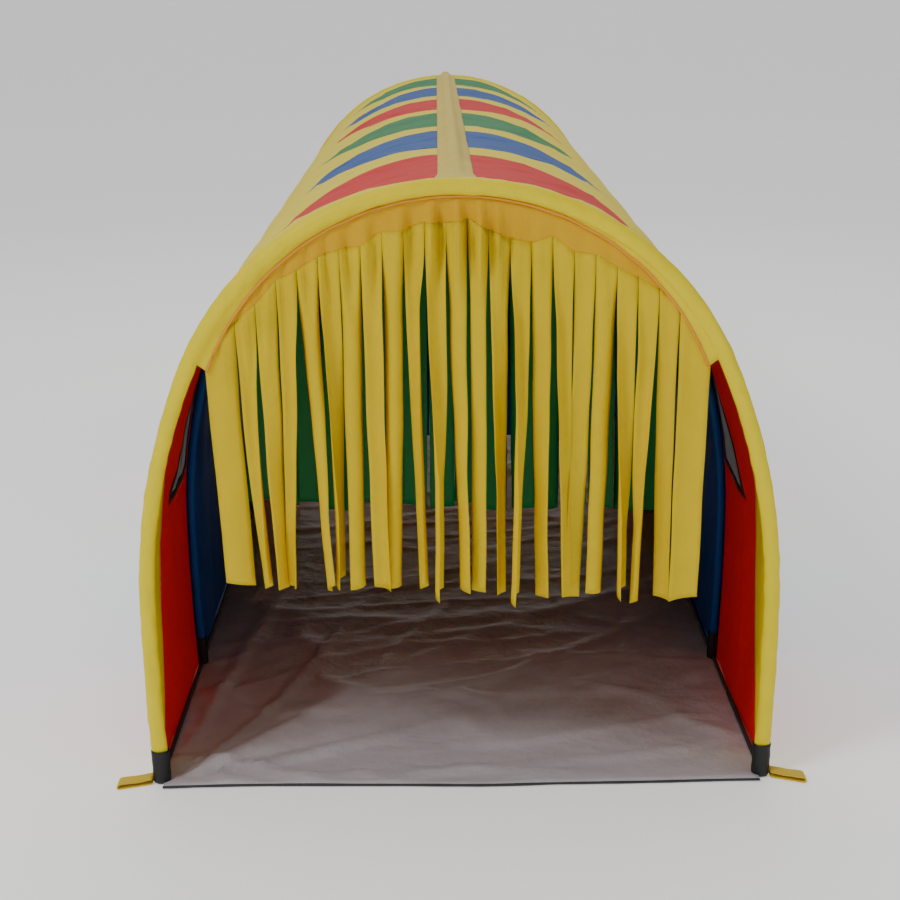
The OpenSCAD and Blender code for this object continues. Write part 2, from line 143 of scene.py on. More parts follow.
def noiseBump(tree, shader, scale, stretch, strength, distance, detail=4.0):
    coords = tree.nodes.new("ShaderNodeTexCoord")
    mapping = tree.nodes.new("ShaderNodeMapping")
    mapping.inputs["Scale"].default_value = stretch
    texture = tree.nodes.new("ShaderNodeTexNoise")
    setNode(texture, {"Scale": scale, "Detail": detail, "Roughness": 0.55})
    bump = tree.nodes.new("ShaderNodeBump")
    setNode(bump, {"Strength": strength, "Distance": distance})
    tree.links.new(coords.outputs["Object"], mapping.inputs["Vector"])
    tree.links.new(mapping.outputs["Vector"], texture.inputs["Vector"])
    tree.links.new(texture.outputs["Fac"], bump.inputs["Height"])
    tree.links.new(bump.outputs["Normal"], shader.inputs["Normal"])
    return texture, bump, mapping


def clothMaterial(name, look):
    material = bpy.data.materials.new(name)
    material.use_nodes = True
    tree = material.node_tree
    shader = tree.nodes["Principled BSDF"]
    setNode(shader, {"Roughness": look.get("roughness", 0.5), "Specular IOR Level": look.get("shine", 0.22)})
    texture, bump, mapping = noiseBump(tree, shader, 26, (1, 1, 1), look.get("crinkle", 0.5), 0.004, 6.0)
    # the colour follows the crinkle bump's noise: painted shade in its hollows and painted highlight on its crests
    crinkleShade = tree.nodes.new("ShaderNodeMix")
    crinkleShade.data_type = "RGBA"
    crinkleShade.inputs[6].default_value = (*[c * 0.9 for c in look["colour"]], 1)
    crinkleShade.inputs[7].default_value = (*[min(1, c * 1.07) for c in look["colour"]], 1)
    tree.links.new(texture.outputs["Fac"], crinkleShade.inputs[0])
    tree.links.new(crinkleShade.outputs[2], shader.inputs["Base Color"])
    # fine plain weave under the creases
    weave = tree.nodes.new("ShaderNodeTexNoise")
    setNode(weave, {"Scale": 900, "Detail": 2.0})
    fine = tree.nodes.new("ShaderNodeBump")
    setNode(fine, {"Strength": 0.25, "Distance": 0.0004})
    tree.links.new(mapping.outputs["Vector"], weave.inputs["Vector"])
    tree.links.new(weave.outputs["Fac"], fine.inputs["Height"])
    tree.links.new(fine.outputs["Normal"], bump.inputs["Normal"])
    glow = tree.nodes.new("ShaderNodeBsdfTranslucent")
    glow.inputs["Color"].default_value = (*look.get("through", look["colour"]), 1)
    mix = tree.nodes.new("ShaderNodeMixShader")
    mix.inputs[0].default_value = look.get("thin", 0.25)
    tree.links.new(shader.outputs[0], mix.inputs[1])
    tree.links.new(glow.outputs[0], mix.inputs[2])
    tree.links.new(mix.outputs[0], tree.nodes["Material Output"].inputs["Surface"])
    return material


def plainMaterial(name, look):
    material = bpy.data.materials.new(name)
    material.use_nodes = True
    tree = material.node_tree
    shader = tree.nodes["Principled BSDF"]
    setNode(shader, {"Base Color": (*look["colour"], 1), "Roughness": look["roughness"],
                     "Metallic": look.get("metal", 0.0)})
    noiseBump(tree, shader, look.get("grain", 60), look.get("stretch", (1, 1, 1)), look.get("bump", 0.3), 0.001)
    return material


def netMaterial(name, look):
    material = plainMaterial(name, look)
    tree = material.node_tree
    clear = tree.nodes.new("ShaderNodeBsdfTransparent")
    mix = tree.nodes.new("ShaderNodeMixShader")
    mix.inputs[0].default_value = look["open"]
    tree.links.new(tree.nodes["Principled BSDF"].outputs[0], mix.inputs[1])
    tree.links.new(clear.outputs[0], mix.inputs[2])
    tree.links.new(mix.outputs[0], tree.nodes["Material Output"].inputs["Surface"])
    return material


yellowCloth = clothMaterial("yellowCloth", {"colour": (0.93, 0.76, 0.004), "through": (0.95, 0.7, 0.01),
                                            "thin": 0.16, "crinkle": 1.0})
redCloth = clothMaterial("redCloth", {"colour": (0.8, 0.008, 0.006), "through": (0.9, 0.01, 0.005),
                                      "thin": 0.28, "crinkle": 0.8})
blueCloth = clothMaterial("blueCloth", {"colour": (0.003, 0.085, 0.36), "through": (0.002, 0.1, 0.42),
                                        "thin": 0.16, "crinkle": 0.8})
greenCloth = clothMaterial("greenCloth", {"colour": (0.012, 0.24, 0.06), "through": (0.01, 0.3, 0.06),
                                          "thin": 0.18, "crinkle": 0.8})
ridgeCloth = clothMaterial("ridgeCloth", {"colour": (0.72, 0.54, 0.05), "through": (0.7, 0.5, 0.03),
                                          "thin": 0.08, "crinkle": 0.6})
stripCloth = clothMaterial("stripCloth", {"colour": (0.88, 0.68, 0.006), "through": (0.92, 0.55, 0.004),
                                          "thin": 0.3, "crinkle": 1.0})
# the header band is the streamer cloth in a darker, more orange copy: painted shade under the sleeve and among its
# gathers
shadedHeaderCloth = clothMaterial("shadedHeaderCloth", {"colour": (0.84, 0.5, 0.01), "through": (0.9, 0.42, 0.005),
                                            "thin": 0.26, "crinkle": 1.0})
silverSheet = clothMaterial("silverSheet", {"colour": (0.5, 0.47, 0.51), "through": (0.2, 0.19, 0.2), "thin": 0.02,
                                            "roughness": 0.34, "crinkle": 1.0, "shine": 0.5})
darkPiping = plainMaterial("darkPiping", {"colour": (0.025, 0.025, 0.03), "roughness": 0.6, "grain": 300})
orangePiping = plainMaterial("orangePiping", {"colour": (0.74, 0.3, 0.02), "roughness": 0.6, "grain": 300})
blackVinyl = plainMaterial("blackVinyl", {"colour": (0.006, 0.006, 0.007), "roughness": 0.6, "grain": 90,
                                          "bump": 0.5})
goldWebbing = plainMaterial("goldWebbing", {"colour": (0.66, 0.46, 0.02), "roughness": 0.7, "grain": 420,
                                            "stretch": (1, 0.25, 1), "bump": 0.8})
darkMesh = netMaterial("darkMesh", {"colour": (0.035, 0.03, 0.027), "roughness": 0.6, "grain": 500, "open": 0.22})
fibreRod = plainMaterial("fibreRod", {"colour": (0.62, 0.62, 0.6), "roughness": 0.35, "grain": 200,
                                      "stretch": (1, 0.1, 1)})
ferruleMetal = plainMaterial("ferruleMetal", {"colour": (0.72, 0.72, 0.73), "roughness": 0.25, "metal": 1.0,
                                              "grain": 40, "bump": 0.1})

for node, material in (("arch_rods", fibreRod), ("ridge_rod", fibreRod), ("rod_ferrules", ferruleMetal)):
    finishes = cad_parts[node].data.materials
    finishes.clear()
    finishes.append(material)
print("materials done")


# meshes
def addPiece(name, points, faces, material, slot, thick=0.0):
    mesh = bpy.data.meshes.new(name)
    mesh.from_pydata([tuple(p) for p in points], [], faces)
    bm = bmesh.new()
    bm.from_mesh(mesh)
    bmesh.ops.remove_doubles(bm, verts=bm.verts, dist=0.00002)
    bmesh.ops.dissolve_degenerate(bm, edges=bm.edges, dist=0.00001)
    bmesh.ops.recalc_face_normals(bm, faces=bm.faces)
    bm.to_mesh(mesh)
    bm.free()
    for face in mesh.polygons:
        face.use_smooth = True
    mesh.materials.append(material)
    piece = bpy.data.objects.new(name, mesh)
    bpy.context.scene.collection.objects.link(piece)
    if thick:
        solid = piece.modifiers.new("thickness", "SOLIDIFY")
        solid.thickness = thick
        solid.offset = 0
    return piece


def gridFaces(rows, columns, wrap=False, start=0):
    # quads over a grid of points stored row by row
    across = columns if wrap else columns - 1
    return [(start + r * columns + c, start + r * columns + (c + 1) % columns,
             start + (r + 1) * columns + (c + 1) % columns, start + (r + 1) * columns + c)
            for r in range(rows - 1) for c in range(across)]


def gridPiece(name, rows, material, slot, thick):
    points = [p for row in rows for p in row]
    return addPiece(name, points, gridFaces(len(rows), len(rows[0])), material, slot, thick)


def spread(a, b, n):
    return [a + (b - a) * k / n for k in range(n + 1)]


def tubeMesh(rings):
    # a closed tube through rings of points
    points = [p for ring in rings for p in ring]
    n = len(rings[0])
    faces = gridFaces(len(rings), n, True)
    faces.append(tuple(range(n)))
    faces.append(tuple(reversed(range((len(rings) - 1) * n, len(rings) * n))))
    return points, faces


def addPart(points, faces, part):
    # joins one closed part to a piece that is made of several
    morePoints, moreFaces = part
    faces += [tuple(k + len(points) for k in face) for face in moreFaces]
    points += morePoints


def sideWord(side):
    return "Left" if side < 0 else "Right"


# canopy panels: roof lenses, the yellow gores between them, and the walls
canopy = {"thick": 0.0009, "lensReach": 0.262, "lensMargin": 0.058, "endGap": 0.0105, "lensRows": 46}
lensHalf = tunnel["bay"] / 2 - canopy["lensMargin"]
lensR = (canopy["lensReach"] ** 2 + lensHalf ** 2) / (2 * lensHalf)
lensAngle = math.asin(canopy["lensReach"] / (arch["crownR"] - tunnel["cloth"]))
wallAngle = angleAtZ(tunnel["wallTop"], tunnel["cloth"])
bayCloth = [("Red", redCloth, "red_cloth", "bay_1_red"), ("Blue", blueCloth, "blue_cloth", "bay_2_blue"),
            ("Green", greenCloth, "green_cloth", "bay_3_green"), ("Red", redCloth, "red_cloth", "bay_4_red"),
            ("Blue", blueCloth, "blue_cloth", "bay_5_blue"), ("Green", greenCloth, "green_cloth", "bay_6_green")]


def lensEdge(i, angle, way):
    # y of a roof lens's edge, way -1 for its front edge and 1 for its rear edge
    mid = archY(i) + tunnel["bay"] / 2
    x = min(canopy["lensReach"], abs((arch["crownR"] - tunnel["cloth"]) * math.sin(angle)))
    h = max(0, math.sqrt(lensR ** 2 - x * x) - (lensR - lensHalf))
    ragged = 0.004 * wave(angle * 3, i * 3.7 + way) * (1 if abs(angle) < lensAngle else 0) * min(1, h / 0.03)
    return mid + way * h + ragged


def roofPanel(i):
    label, material, slot, node = bayCloth[i]
    rows = []
    for angle in spread(-lensAngle, lensAngle, canopy["lensRows"]):
        y0, y1 = lensEdge(i, angle, -1), lensEdge(i, angle, 1)
        rows.append([canopyPoint(angle, y) for y in spread(y0, y1, 30)])
    piece = gridPiece(f"roof{label}{i + 1}", rows, material, slot, canopy["thick"])
    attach(piece, "tunnel")
    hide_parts(node)


def gorePanel(i):
    # yellow cloth over arch i, down to the wall seams
    node = "front_gore" if i == 0 else "rear_gore" if i == tunnel["bays"] else f"gore_{i}"
    rows, depths = [], 0
    angles = spread(-wallAngle, -lensAngle, 14)[:-1] + spread(-lensAngle, lensAngle, canopy["lensRows"])
    angles += spread(lensAngle, wallAngle, 14)[1:]
    for angle in angles:
        low = archY(i) + canopy["endGap"] if i == 0 else lensEdge(i - 1, angle, 1)
        high = archY(i) - canopy["endGap"] if i == tunnel["bays"] else lensEdge(i, angle, -1)
        if 0 < i < tunnel["bays"]:
            ys = spread(low, archY(i), 16)[:-1] + spread(archY(i), high, 16)
        else:
            ys = spread(low, high, 20)
        rows.append([canopyPoint(angle, y) for y in ys])
        depths += high - low
    piece = gridPiece(f"gore{i + 1}", rows, yellowCloth, "yellow_cloth", canopy["thick"])
    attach(piece, "tunnel")
    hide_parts(node)


# seam between the yellow end gore and the coloured wall, as a distance from the end arch
facing = {"foot": 0.066, "middle": 0.158, "middleZ": 0.33, "top": 0.03, "cut": 0.16}


def facingEdge(z):
    if z < facing["middleZ"]:
        t = z / facing["middleZ"]
        return facing["foot"] + (facing["middle"] - facing["foot"]) * math.sin(t * math.pi / 2)
    t = (z - facing["middleZ"]) / (tunnel["wallTop"] - facing["middleZ"])
    return facing["top"] + (facing["middle"] - facing["top"]) * math.cos(t * math.pi / 2) ** 1.15


window = {"rear": 0.022, "length": 0.24, "z": 0.355, "height": 0.185, "binding": 0.009,
          "cells": 24, "rowsBelow": 26, "rowsAbove": 9, "columnsBefore": 8}


def wallRows():
    # heights of the wall's rows, set so that the window's edges fall on them
    top = window["z"] + window["height"]
    below = spread(0.001, window["z"], window["rowsBelow"])[:-1]
    beside = spread(window["z"], top, window["cells"])[:-1]
    return below + beside + spread(top, tunnel["wallTop"], window["rowsAbove"])


def wallPanel(i, side):
    label, material, slot, node = bayCloth[i]
    ends = {0: 1, tunnel["bays"] - 1: -1}
    rows, faces, netFaces = [], [], []
    n = window["cells"]
    for z in wallRows():
        if i in ends:
            far = archY(1) if i == 0 else archY(i)
            near = archY(0) if i == 0 else archY(i + 1)
            way = ends[i]
            rear = far - way * window["rear"]
            front = rear - way * window["length"]
            seam = near + way * facingEdge(z)
            ys = spread(seam, front, window["columnsBefore"])[:-1] + spread(front, rear, n)[:-1]
            ys += spread(rear, far, 3)
        else:
            ys = spread(archY(i), archY(i + 1), 36)
        rows.append([sidePoint(side, y, z) for y in ys])
    columns = len(rows[0])
    for r in range(len(rows) - 1):
        for c in range(columns - 1):
            a, b = r * columns + c, r * columns + c + 1
            d, e = a + columns, b + columns
            u, v = c - window["columnsBefore"], r - window["rowsBelow"]
            if i in ends and 0 <= v <= u < n:
                if v == u:
                    faces.append((a, e, d))
                    netFaces.append((a, b, e))
                else:
                    netFaces.append((a, b, e, d))
            else:
                faces.append((a, b, e, d))
    points = [p for row in rows for p in row]
    word = sideWord(side)

    def used(faceList):
        # only the points that these faces touch
        keep = sorted({k for face in faceList for k in face})
        place = {k: m for m, k in enumerate(keep)}
        return [points[k] for k in keep], [tuple(place[k] for k in face) for face in faceList]

    piece = addPiece(f"wall{label}{word}{i + 1}", *used(faces), material, slot, canopy["thick"])
    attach(piece, "tunnel")
    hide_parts(node)
    if i in ends:
        net = addPiece(f"windowNet{word}{i + 1}", *used(netFaces), darkMesh, "dark_mesh", 0.0006)
        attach(net, "tunnel")
        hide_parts("window_meshes")


def facingPanel(i, side):
    # the end gore's cloth on the wall
    near, way = archY(i), 1 if i == 0 else -1
    rows = []
    for z in wallRows():
        rows.append([sidePoint(side, near + way * d, z) for d in spread(canopy["endGap"], facingEdge(z), 12)])
    word = ("Front" if i == 0 else "Rear") + sideWord(side)
    piece = gridPiece(f"facing{word}", rows, yellowCloth, "yellow_cloth", canopy["thick"])
    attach(piece, "tunnel")
    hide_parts("front_gore" if i == 0 else "rear_gore")


def windowBinding(i, side):
    # a folded tape sewn round the window's three edges
    far = archY(1) if i == 0 else archY(i)
    way = 1 if i == 0 else -1
    rear = far - way * window["rear"]
    corners = [Vector((rear - way * window["length"], window["z"])), Vector((rear, window["z"])),
               Vector((rear, window["z"] + window["height"]))]
    inner = (window["length"] + window["height"] - math.hypot(window["length"], window["height"])) / 2
    middle = Vector((rear - way * inner, window["z"] + inner))
    steps = 18
    path = []
    for k in range(3):
        p, q = corners[k], corners[(k + 1) % 3]
        path += [p + (q - p) * t / steps for t in range(steps)]
    # the tape's section: share of its width from the edge, and how far it stands off the cloth
    section = ((-0.12, 0), (0.15, 0.0013), (0.7, 0.0012), (1, 0), (0.7, -0.0012), (0.15, -0.0013))
    rings = []
    for k, p in enumerate(path):
        ring = []
        for share, out in section:
            q = p + (middle - p) * share * 1.3 * window["binding"] / inner
            ring.append(sidePoint(side, q.x, q.y, out + 0.0003 * wave(k * 0.7, out * 900)))
        rings.append(ring)
    rings.append(rings[0])
    points = [p for ring in rings for p in ring]
    faces = gridFaces(len(rings), len(section), True)
    piece = addPiece(f"windowBinding{sideWord(side)}{i + 1}", points, faces, blackVinyl, "black_vinyl")
    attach(piece, "tunnel")
    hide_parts("window_bindings")


def cornerPatch(i, side):
    # small black patch at the window's upper corner, reaching to the arch
    far = archY(1) if i == 0 else archY(i)
    way = 1 if i == 0 else -1
    top = window["z"] + window["height"]
    ys = spread(far - way * (window["rear"] + 0.008), far - way * 0.004, 4)
    rows = [[sidePoint(side, y, z, -0.002) for y in ys] for z in spread(top - 0.016, top + 0.014, 5)]
    piece = gridPiece(f"windowCornerPatch{sideWord(side)}{i + 1}", rows, blackVinyl, "black_vinyl", 0.0008)
    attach(piece, "tunnel")


for i in range(tunnel["bays"]):
    roofPanel(i)
    for side in (-1, 1):
        wallPanel(i, side)
for i in range(tunnel["bays"] + 1):
    gorePanel(i)
for i in (0, tunnel["bays"]):
    for side in (-1, 1):
        facingPanel(i, side)
for i in (0, tunnel["bays"] - 1):
    for side in (-1, 1):
        windowBinding(i, side)
        cornerPatch(i, side)
print("canopy done")

# sleeves on the arches
endSleeve = {"inset": 0.012, "radius": 0.0117, "foot": 0.046, "step": 0.006, "round": 26}
innerSleeve = {"inset": 0.014, "radius": 0.0073, "foot": 0.046, "step": 0.009, "round": 14}


def sleevePart(look, y, seed):
    angles, length = archSpan(look["inset"], look["foot"], look["step"])
    rings = []
    for k, angle in enumerate(angles):
        p, n = archPoint(angle, look["inset"])
        run = length * k / (len(angles) - 1)
        ring = []
        for m in range(look["round"]):
            t = 2 * math.pi * m / look["round"]
            pucker = 0.1 * wave(run * 48, math.cos(t) * 1.1, seed)
            pucker += 0.09 * wave(run * 12 + math.sin(t), math.cos(t) * 0.8, seed + 4)
            # the seam pulls the sleeve to a soft edge on its inner side
            pull = 0.1 * max(0, -math.cos(t - 0.5)) ** 6
            r = look["radius"] * (0.96 + pucker + pull)
            ring.append(p + n * r * math.cos(t) + Vector((0, y + r * math.sin(t), 0)))
        rings.append(ring)
    return tubeMesh(rings)


for name, i in (("frontSleeve", 0), ("rearSleeve", tunnel["bays"])):
    piece = addPiece(name, *sleevePart(endSleeve, archY(i), i * 2.3), yellowCloth, "yellow_cloth")
    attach(piece, "tunnel")
    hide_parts("front_sleeve" if i == 0 else "rear_sleeve")
for i in range(1, tunnel["bays"]):
    # over the roof the inner sleeves are yellow, down the walls they match the next bay
    points, faces = sleevePart(innerSleeve, archY(i), i * 5.1)
    around = innerSleeve["round"]
    rings = [points[k:k + around] for k in range(0, len(points), around)]
    first = next(k for k, ring in enumerate(rings) if ring[0].z > tunnel["wallTop"])
    last = len(rings) - first
    legs = (bayCloth[i][1], bayCloth[i][2])
    for word, part, material, slot in (("Left", rings[:first + 1], *legs),
                                       ("Roof", rings[first:last], yellowCloth, "yellow_cloth"),
                                       ("Right", rings[last - 1:], *legs)):
        piece = addPiece(f"innerSleeve{word}{i + 1}", *tubeMesh(part), material, slot)
        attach(piece, "tunnel")
        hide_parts("inner_sleeves")
print("sleeves done")

# ridge strip: a padded-looking sleeve over the ridge rod, flared at the front arch
ridge = {"half": 0.025, "flare": 0.033, "flareLength": 0.11, "top": 0.8812, "gap": 0.004, "rings": 260}
y0, y1 = archY(0) + ridge["gap"], archY(tunnel["bays"]) - ridge["gap"]
# across the strip: share of its half width, and share of its height there
profile = (-1, -0.93, -0.7, -0.45, -0.3, -0.17, 0, 0.17, 0.3, 0.45, 0.7, 0.93, 1)
height = (0, 0.1, 0.24, 0.5, 0.86, 0.99, 1, 0.99, 0.86, 0.5, 0.24, 0.1, 0)
rows = []
for y in spread(y0, y1, ridge["rings"]):
    fade = max(0, 1 - (y - y0) / ridge["flareLength"])
    half = ridge["half"] + (ridge["flare"] - ridge["half"]) * fade ** 1.4 + 0.0006 * wave(y * 14, 2.2)
    row = []
    for u, h in zip(profile, height):
        x = u * half
        angle = math.asin(x / (arch["crownR"] - tunnel["cloth"]))
        base = canopyPoint(angle, y, 0.0012).z
        swell = min(1, max(0.16, (y - y0) / 0.3)) ** 0.8
        z = base + (ridge["top"] - base) * h * swell
        z += (0.0011 * wave(y * 22, u * 2.0, 5) + 0.0007 * wave(y * 55, u * 3.0, 8)) * (1 - 0.55 * h)
        row.append(Vector((x, y, min(z, ridge["top"] + 0.0008))))
    rows.append(row)
ridgeStrip = gridPiece("ridgeStrip", rows, ridgeCloth, "ridge_cloth", 0.001)
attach(ridgeStrip, "tunnel")
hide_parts("ridge_strip", "ridge_rod")
print("ridge done")

# ground sheet with creases that run out from the front left corner
ground = {"half": 0.4396, "halfLength": 1.478, "lip": 0.03, "thick": 0.0012, "corner": (-0.43, -1.47),
          "lipTuck": 0.982, "backing": 0.983, "along": 250, "across": 90}


def groundHeight(x, y):
    dx, dy = x - ground["corner"][0], y - ground["corner"][1]
    far = math.hypot(dx, dy)
    turn = math.atan2(dy, dx)
    ray = max(0, 1 - abs(wave(turn * 5.5, far * 1.1, 2.0)) * 5) * 0.0095
    ray *= min(1, far / 0.08)
    ray *= max(0.2, 1 - far / 1.3)
    folds = max(0, 1 - abs(wave(x * 4 + y * 1.5, y * 5, 7.7)) * 7) * 0.006
    cross = max(0, 1 - abs(wave(x * 2.2, y * 9 - x * 2, 12.1)) * 8) * 0.0055
    soft = 0.004 * (wave(x * 3.1, y * 2.6, 4.4) + 0.3)
    # it lies flatter further in
    calm = 1 - 0.65 * min(1, max(0, (y + 1.1) / 0.6))
    edge = min(1, (ground["half"] - abs(x)) / 0.05 + 0.12)
    edge *= min(1, max(0.1, (ground["halfLength"] - abs(y)) / 0.04))
    return 0.0028 + max(0, ray + (folds + cross) * calm + max(0, soft)) * edge


def lipWave(x):
    return 0.004 * wave(x * 7, 0.3, 3.3) + 0.003 * math.sin(x * 9 + 1) - 0.002


rows = []
frontLip, rearLip = archY(0) - ground["lip"], archY(tunnel["bays"]) + ground["lip"]
for k in range(ground["along"] + 1):
    t = k / ground["along"]
    row = []
    for m in range(ground["across"] + 1):
        x = ground["half"] * (2 * m / ground["across"] - 1)
        y = (frontLip - lipWave(x)) * (1 - t) + (rearLip + lipWave(x + 5)) * t
        # the lips are a little narrower, to pass between the feet
        if abs(y) > 1.44:
            x *= ground["lipTuck"]
        row.append(Vector((x, y, groundHeight(x, y))))
    rows.append(row)
groundSheet = gridPiece("groundSheet", rows, silverSheet, "silver_sheet", ground["thick"])
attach(groundSheet, "tunnel")
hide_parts("ground_sheet")


def roundCord(path, radius, around, wobble):
    rings = []
    for k, p in enumerate(path):
        ahead = path[min(k + 1, len(path) - 1)] - path[max(k - 1, 0)]
        ahead.normalize()
        sideways = ahead.cross(Vector((0, 0, 1)) if abs(ahead.z) < 0.9 else Vector((0, 1, 0))).normalized()
        up = sideways.cross(ahead).normalized()
        r = radius * (1 + wobble * wave(k * 0.4, 0.7))
        turns = [2 * math.pi * m / around for m in range(around)]
        rings.append([p + (sideways * math.cos(t) + up * math.sin(t)) * r for t in turns])
    return tubeMesh(rings)


piping = {"x": 0.4362, "z": 0.0058, "radius": 0.0034, "short": 0.008, "lipZ": 0.0026, "lipRadius": 0.0021}
points, faces = [], []
for side in (-1, 1):
    path = []
    for y in spread(archY(0) + piping["short"], archY(tunnel["bays"]) - piping["short"], 170):
        x = side * (piping["x"] + 0.0012 * wave(y * 4, side))
        path.append(Vector((x, y, piping["z"] + 0.0008 * wave(y * 6, 3 + side))))
    addPart(points, faces, roundCord(path, piping["radius"], 10, 0.1))
for end, lip, shift in ((-1, frontLip, 0), (1, rearLip, 5)):
    # dark backing that shows along the sheet's open edges
    path = []
    for m in range(61):
        x = ground["backing"] * ground["half"] * (2 * m / 60 - 1)
        path.append(Vector((x, lip + end * lipWave(x + shift) + end * 0.0004, piping["lipZ"])))
    addPart(points, faces, roundCord(path, piping["lipRadius"], 8, 0.2))
groundPiping = addPiece("groundPiping", points, faces, darkPiping, "dark_piping")
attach(groundPiping, "tunnel")
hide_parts("ground_piping")
print("ground done")

# foot pockets: black cups round the rods' ends
pocket = {"middleZ": 0.025, "endR": 0.0138, "innerR": 0.0092, "round": 28,
          # heights, and the share of the radius at each
          "profile": ((0.0008, 0.4), (0.001, 0.86), (0.004, 0.97), (0.012, 1), (0.022, 0.97), (0.032, 1.01),
                      (0.042, 0.98), (0.0475, 1.02), (0.05, 1.0), (0.0496, 0.84), (0.04, 0.8))}
points, faces = [], []
for i in range(tunnel["bays"] + 1):
    outer = i in (0, tunnel["bays"])
    inset = endSleeve["inset"] if outer else innerSleeve["inset"]
    r = pocket["endR"] if outer else pocket["innerR"]
    for side in (-1, 1):
        centre = archPoint(side * angleAtZ(pocket["middleZ"], inset), inset)[0]
        rings = []
        for z, share in pocket["profile"]:
            lean = (z - pocket["middleZ"]) * 0.03 * side
            ring = []
            for m in range(pocket["round"]):
                t = 2 * math.pi * m / pocket["round"]
                rr = r * share * (1 + 0.05 * wave(math.cos(t) * 2, math.sin(t) * 2, z * 90 + i * 3 + side))
                ring.append(Vector((centre.x + lean + rr * math.cos(t) * 0.96, archY(i) + rr * math.sin(t), z)))
            rings.append(ring)
        addPart(points, faces, tubeMesh(rings))
footPockets = addPiece("footPockets", points, faces, blackVinyl, "black_vinyl")
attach(footPockets, "tunnel")
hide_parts("foot_pockets")

# stake loops of gold webbing
strap = {"root": 0.4495, "length": 0.048, "width": 0.0245, "height": 0.0088, "thick": 0.0016, "cut": 0.09}


def strapLoop(name, node, side, end, twist):
    # out along the top, round the end and back along the floor
    r = strap["height"] / 2
    path = []
    for t in spread(0, 1, 10):
        z = strap["height"] * (0.95 - 0.1 * math.sin(math.pi * t))
        path.append((strap["root"] + (strap["length"] - r) * t, z))
    for t in spread(0, math.pi, 8)[1:-1]:
        path.append((strap["root"] + strap["length"] - r + r * math.sin(t), r + (r - 0.0006) * math.cos(t)))
    for t in spread(1, 0, 10):
        path.append((strap["root"] + (strap["length"] - r) * t, 0.0012))
    rows = []
    for k, (x, z) in enumerate(path):
        row = []
        out = (x - strap["root"]) / strap["length"]
        for v in spread(-1, 1, 8):
            y = archY(0 if end < 0 else tunnel["bays"]) + v * strap["width"] / 2 * (1 - 0.06 * out)
            y += end * twist * out * 0.012
            lift = 0.0008 * wave(k * 0.4, v * 1.2, side) + 0.0006 * v * out
            row.append(Vector((side * x, y, max(0.0009, z + lift))))
        rows.append(row)
    piece = gridPiece(name, rows, goldWebbing, "gold_webbing", strap["thick"])
    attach(piece, node)
    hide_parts(node)


strapLoop("strapFrontLeft", "front_left_loop", -1, -1, 1.5)
strapLoop("strapFrontRight", "front_right_loop", 1, -1, 1.9)
strapLoop("strapRearLeft", "rear_left_loop", -1, 1, 0.5)
strapLoop("strapRearRight", "rear_right_loop", 1, 1, 0.3)
print("feet done")

# front header: a yellow facing next to the sleeve, orange piping, and the band the streamers hang from
header = {"centreZ": 0.475, "radius": 0.372, "endZ": 0.609, "half": 0.3507, "hemTop": 0.781, "hemEnd": 0.629,
          "rows": 12, "cut": (0.86, 0.06), "facingCut": (0.9, 0.025)}
hemFall = header["hemTop"] - header["hemEnd"]
hemR = (header["half"] ** 2 + hemFall ** 2) / (2 * hemFall)


def hemZ(x):
    # height of the header's lower edge, where the streamers bend
    return header["hemTop"] - hemR + math.sqrt(hemR ** 2 - min(x * x, header["half"] ** 2))


def pipingZ(x):
    return header["centreZ"] + math.sqrt(max(0, header["radius"] ** 2 - x * x))


pipingEnd = math.acos((header["endZ"] - header["centreZ"]) / header["radius"])


def gather(x, z):
    # folds that hang from the piping: tight on the left and in the middle, slack on the right
    tight = 1.0 if x < 0.06 else 0.35
    near = math.exp(-((x + 0.005) / 0.05) ** 2)
    fall = max(0, min(1, (pipingZ(x) - z) / 0.05))
    phase = x * 175 + 6 * wave(x * 9, z * 2, 1.1)
    fold = math.sin(phase) + 0.45 * math.sin(2.1 * phase + 1)
    return fall * (0.0068 * tight + 0.008 * near) * fold + 0.008 * fall * wave(x * 12, z * 6, 8.8)


rows = []
for angle in spread(-pipingEnd, pipingEnd, 120):
    x = header["radius"] * math.sin(angle)
    z = header["centreZ"] + header["radius"] * math.cos(angle)
    outAngle = angle * 0.93
    if abs(angle) > 0.3:
        outAngle = math.copysign(angleAtZ(min(z + 0.012, 0.8495), 0.021), angle)
    outer = archPoint(outAngle, 0.019)[0]
    inner = Vector((x, 0, z))
    row = []
    for t in spread(0, 1, 6):
        p = inner.lerp(outer, t)
        bow = 0.0015 * math.sin(math.pi * t) * wave(angle * 14, t, 2)
        row.append(Vector((p.x, archY(0) - 0.0015 - 0.004 * t * t + bow, p.z)))
    rows.append(row)
headerFacing = gridPiece("headerFacing", rows, yellowCloth, "yellow_cloth", 0.0008)
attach(headerFacing, "tunnel")
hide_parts("front_header")

path = []
for a in spread(-pipingEnd, pipingEnd, 130):
    x = header["radius"] * math.sin(a) + 0.0008 * wave(a * 9, 1)
    z = header["centreZ"] + header["radius"] * math.cos(a) + 0.001 * wave(a * 11, 7)
    path.append(Vector((x, archY(0) - 0.0028 + 0.0006 * wave(a * 13, 4), z)))
headerPiping = addPiece("headerPiping", *roundCord(path, 0.0019, 8, 0.2), orangePiping, "orange_piping")
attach(headerPiping, "tunnel")
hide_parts("header_piping")

